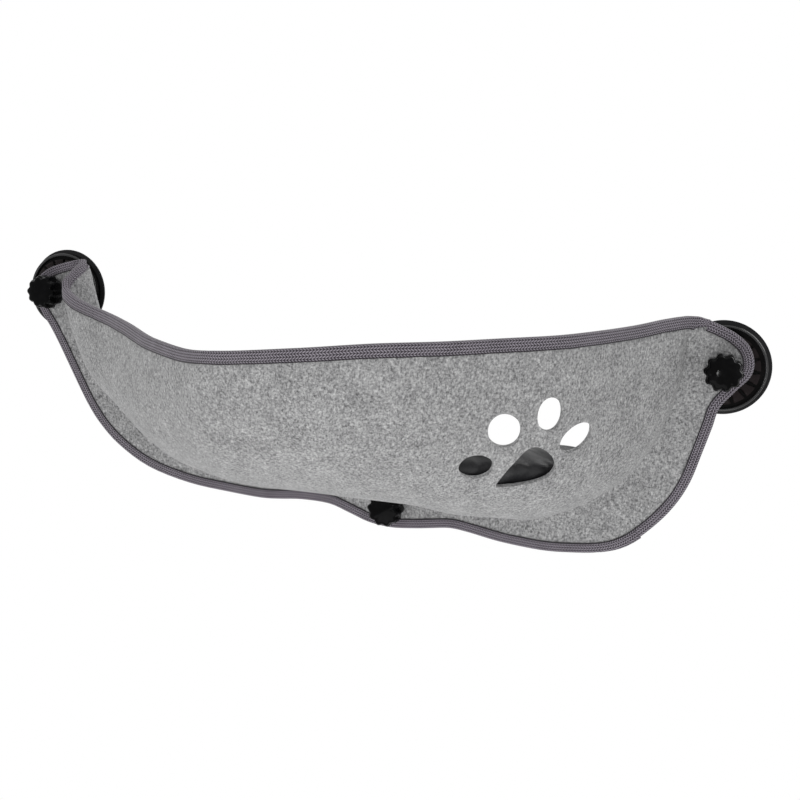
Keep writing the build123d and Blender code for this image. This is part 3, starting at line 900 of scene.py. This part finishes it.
threadLook = {
    "twist": (2500, 2, 0.6), "tones": [(0.3, (0.012, 0.011, 0.013)), (0.7, (0.05, 0.047, 0.052))],
    "shader": {"Roughness": 0.7}, "bump": (0.4, 0.0001),
}


def threadMaterial():
    material, tree, shader = newMaterial("darkThread")
    twist = noiseAt(tree, objectCoords(tree), *threadLook["twist"])
    colourInto(tree, shader, twist, threadLook["tones"])
    setSockets(shader, threadLook["shader"])
    bumpInto(tree, shader, twist, *threadLook["bump"])
    return material


satinLook = {
    "folds": (18, 2, 0.5, (1, 2.0, 1.6), (0.2, 0.1, 0.5)), "weave": (1600, 1, 0.5), "weaveHeight": 0.02,
    "tones": [(0.3, (0.007, 0.007, 0.008)), (0.7, (0.018, 0.018, 0.02))],
    "shader": {"Roughness": 0.45, "Specular IOR Level": 0.4}, "bump": (0.8, 0.017),
}


def cushionMaterial():
    material, tree, shader = newMaterial("blackSatin")
    coords = objectCoords(tree)
    folds, weave = [noiseAt(tree, coords, *satinLook[name]) for name in ("folds", "weave")]
    colourInto(tree, shader, weave, satinLook["tones"])
    setSockets(shader, satinLook["shader"])
    height = weighted(tree, [(folds, 1), (weave, satinLook["weaveHeight"])])
    bumpInto(tree, shader, height, *satinLook["bump"])
    return material


# Moulded plastics, rubber and metals share one group of fine grain, worn gloss and dust
mould = {
    "grainDetail": 3, "wear": (90, 4, 0.6), "glossAt": 0.5, "glossSpread": 0.35,
    "dustAt": 0.45, "dustSpread": 2.2,
}


def mouldGrainGroup():
    group = bpy.data.node_groups.new("mouldGrain", "ShaderNodeTree")
    for way, names in (("INPUT", ("Scale", "Gloss")), ("OUTPUT", ("Roughness", "Height", "Dust"))):
        for name in names:
            group.interface.new_socket(name, in_out=way, socket_type="NodeSocketFloat")
    start = group.nodes.new("NodeGroupInput")
    end = group.nodes.new("NodeGroupOutput")
    coords = objectCoords(group)
    grain = group.nodes.new("ShaderNodeTexNoise")
    setSockets(grain, {"Detail": mould["grainDetail"]})
    group.links.new(coords, grain.inputs["Vector"])
    group.links.new(start.outputs["Scale"], grain.inputs["Scale"])
    group.links.new(grain.outputs["Fac"], end.inputs["Height"])
    wear = noiseAt(group, coords, *mould["wear"])
    gloss = mathNode(group, "SUBTRACT", wear, mould["glossAt"])
    gloss = mathNode(group, "MULTIPLY", gloss, mould["glossSpread"])
    gloss = mathNode(group, "ADD", start.outputs["Gloss"], gloss, clamp=True)
    group.links.new(gloss, end.inputs["Roughness"])
    dust = mathNode(group, "SUBTRACT", wear, mould["dustAt"])
    dust = mathNode(group, "MULTIPLY", dust, mould["dustSpread"], clamp=True)
    group.links.new(dust, end.inputs["Dust"])
    return group


finishes = {
    "cupRubber": {
        "clean": (0.009, 0.009, 0.01), "dusty": (0.02, 0.02, 0.021), "gloss": 0.3, "grain": 900,
        "shader": {"Specular IOR Level": 0.12}, "bump": (0.25, 0.0001),
    },
    "housingPlastic": {
        "clean": (0.0015, 0.0014, 0.0014), "dusty": (0.005, 0.0045, 0.0045), "gloss": 0.16, "grain": 1200,
        "shader": {"Specular IOR Level": 0.05}, "bump": (0.25, 0.00003),
    },
    "knobPlastic": {
        "clean": (0.002, 0.002, 0.0022), "dusty": (0.007, 0.007, 0.0075), "gloss": 0.08, "grain": 1400,
        "shader": {"Specular IOR Level": 0.04}, "bump": (0.25, 0.00002),
    },
    "ridgePlastic": {
        "clean": (0.014, 0.014, 0.015), "dusty": (0.024, 0.024, 0.025), "gloss": 0.12, "grain": 900,
        "shader": {"Specular IOR Level": 0.4}, "bump": (0.25, 0.00003),
    },
    "smokedPlastic": {
        "clean": (0.014, 0.0105, 0.0108), "dusty": (0.024, 0.019, 0.0195), "gloss": 0.25, "grain": 1200,
        "shader": {"Specular IOR Level": 0.06}, "bump": (0.25, 0.00003),
    },
    "zincSteel": {
        "clean": (0.62, 0.62, 0.60), "dusty": (0.434, 0.434, 0.42), "gloss": 0.3, "grain": 1500,
        "shader": {"Metallic": 1}, "bump": (0.15, 0.0001),
    },
    "insertBrass": {
        "clean": (0.78, 0.60, 0.30), "dusty": (0.546, 0.42, 0.21), "gloss": 0.32, "grain": 1500,
        "shader": {"Metallic": 1}, "bump": (0.15, 0.0001),
    },
}


def grainedMaterial(name, look, mouldGrain):
    material, tree, shader = newMaterial(name)
    grain = tree.nodes.new("ShaderNodeGroup")
    grain.node_tree = mouldGrain
    setSockets(grain, {"Scale": look["grain"], "Gloss": look["gloss"]})
    colourInto(tree, shader, grain.outputs["Dust"], [(0, look["clean"]), (1, look["dusty"])])
    tree.links.new(grain.outputs["Roughness"], shader.inputs["Roughness"])
    setSockets(shader, look["shader"])
    bumpInto(tree, shader, grain.outputs["Height"], *look["bump"])
    return material


greyFelt = feltMaterial()
greyTape = tapeMaterial()
darkThread = threadMaterial()
blackSatin = cushionMaterial()
mouldGrain = mouldGrainGroup()
grained = {name: grainedMaterial(name, look, mouldGrain) for name, look in finishes.items()}
print("materials made")

nodePaint = {
    "suction_cup": "cupRubber", "cup_housing": "housingPlastic", "knob": "knobPlastic",
    "stud": "zincSteel", "washer": "zincSteel", "thread_insert": "insertBrass",
}
for name, piece in nodes.items():
    kind = name.rsplit("_", 1)[0]
    if kind in nodePaint:
        painted(piece, grained[nodePaint[kind]])

makeFelt(greyFelt)
rimStations = makeRimTape(greyTape)
flangeStations = makeFlangeTape(greyTape)
print("binding tape made")
makeStitches("rim", rimStations, darkThread)
makeStitches("flange", flangeStations, darkThread)
for side in sling["cups"]:
    makeKnob(side, grained["knobPlastic"])
    makeRidge(side, grained["ridgePlastic"])
    makePanels(side, grained["smokedPlastic"])
print("stitches, knobs and housing details made")
makeCushion(blackSatin)
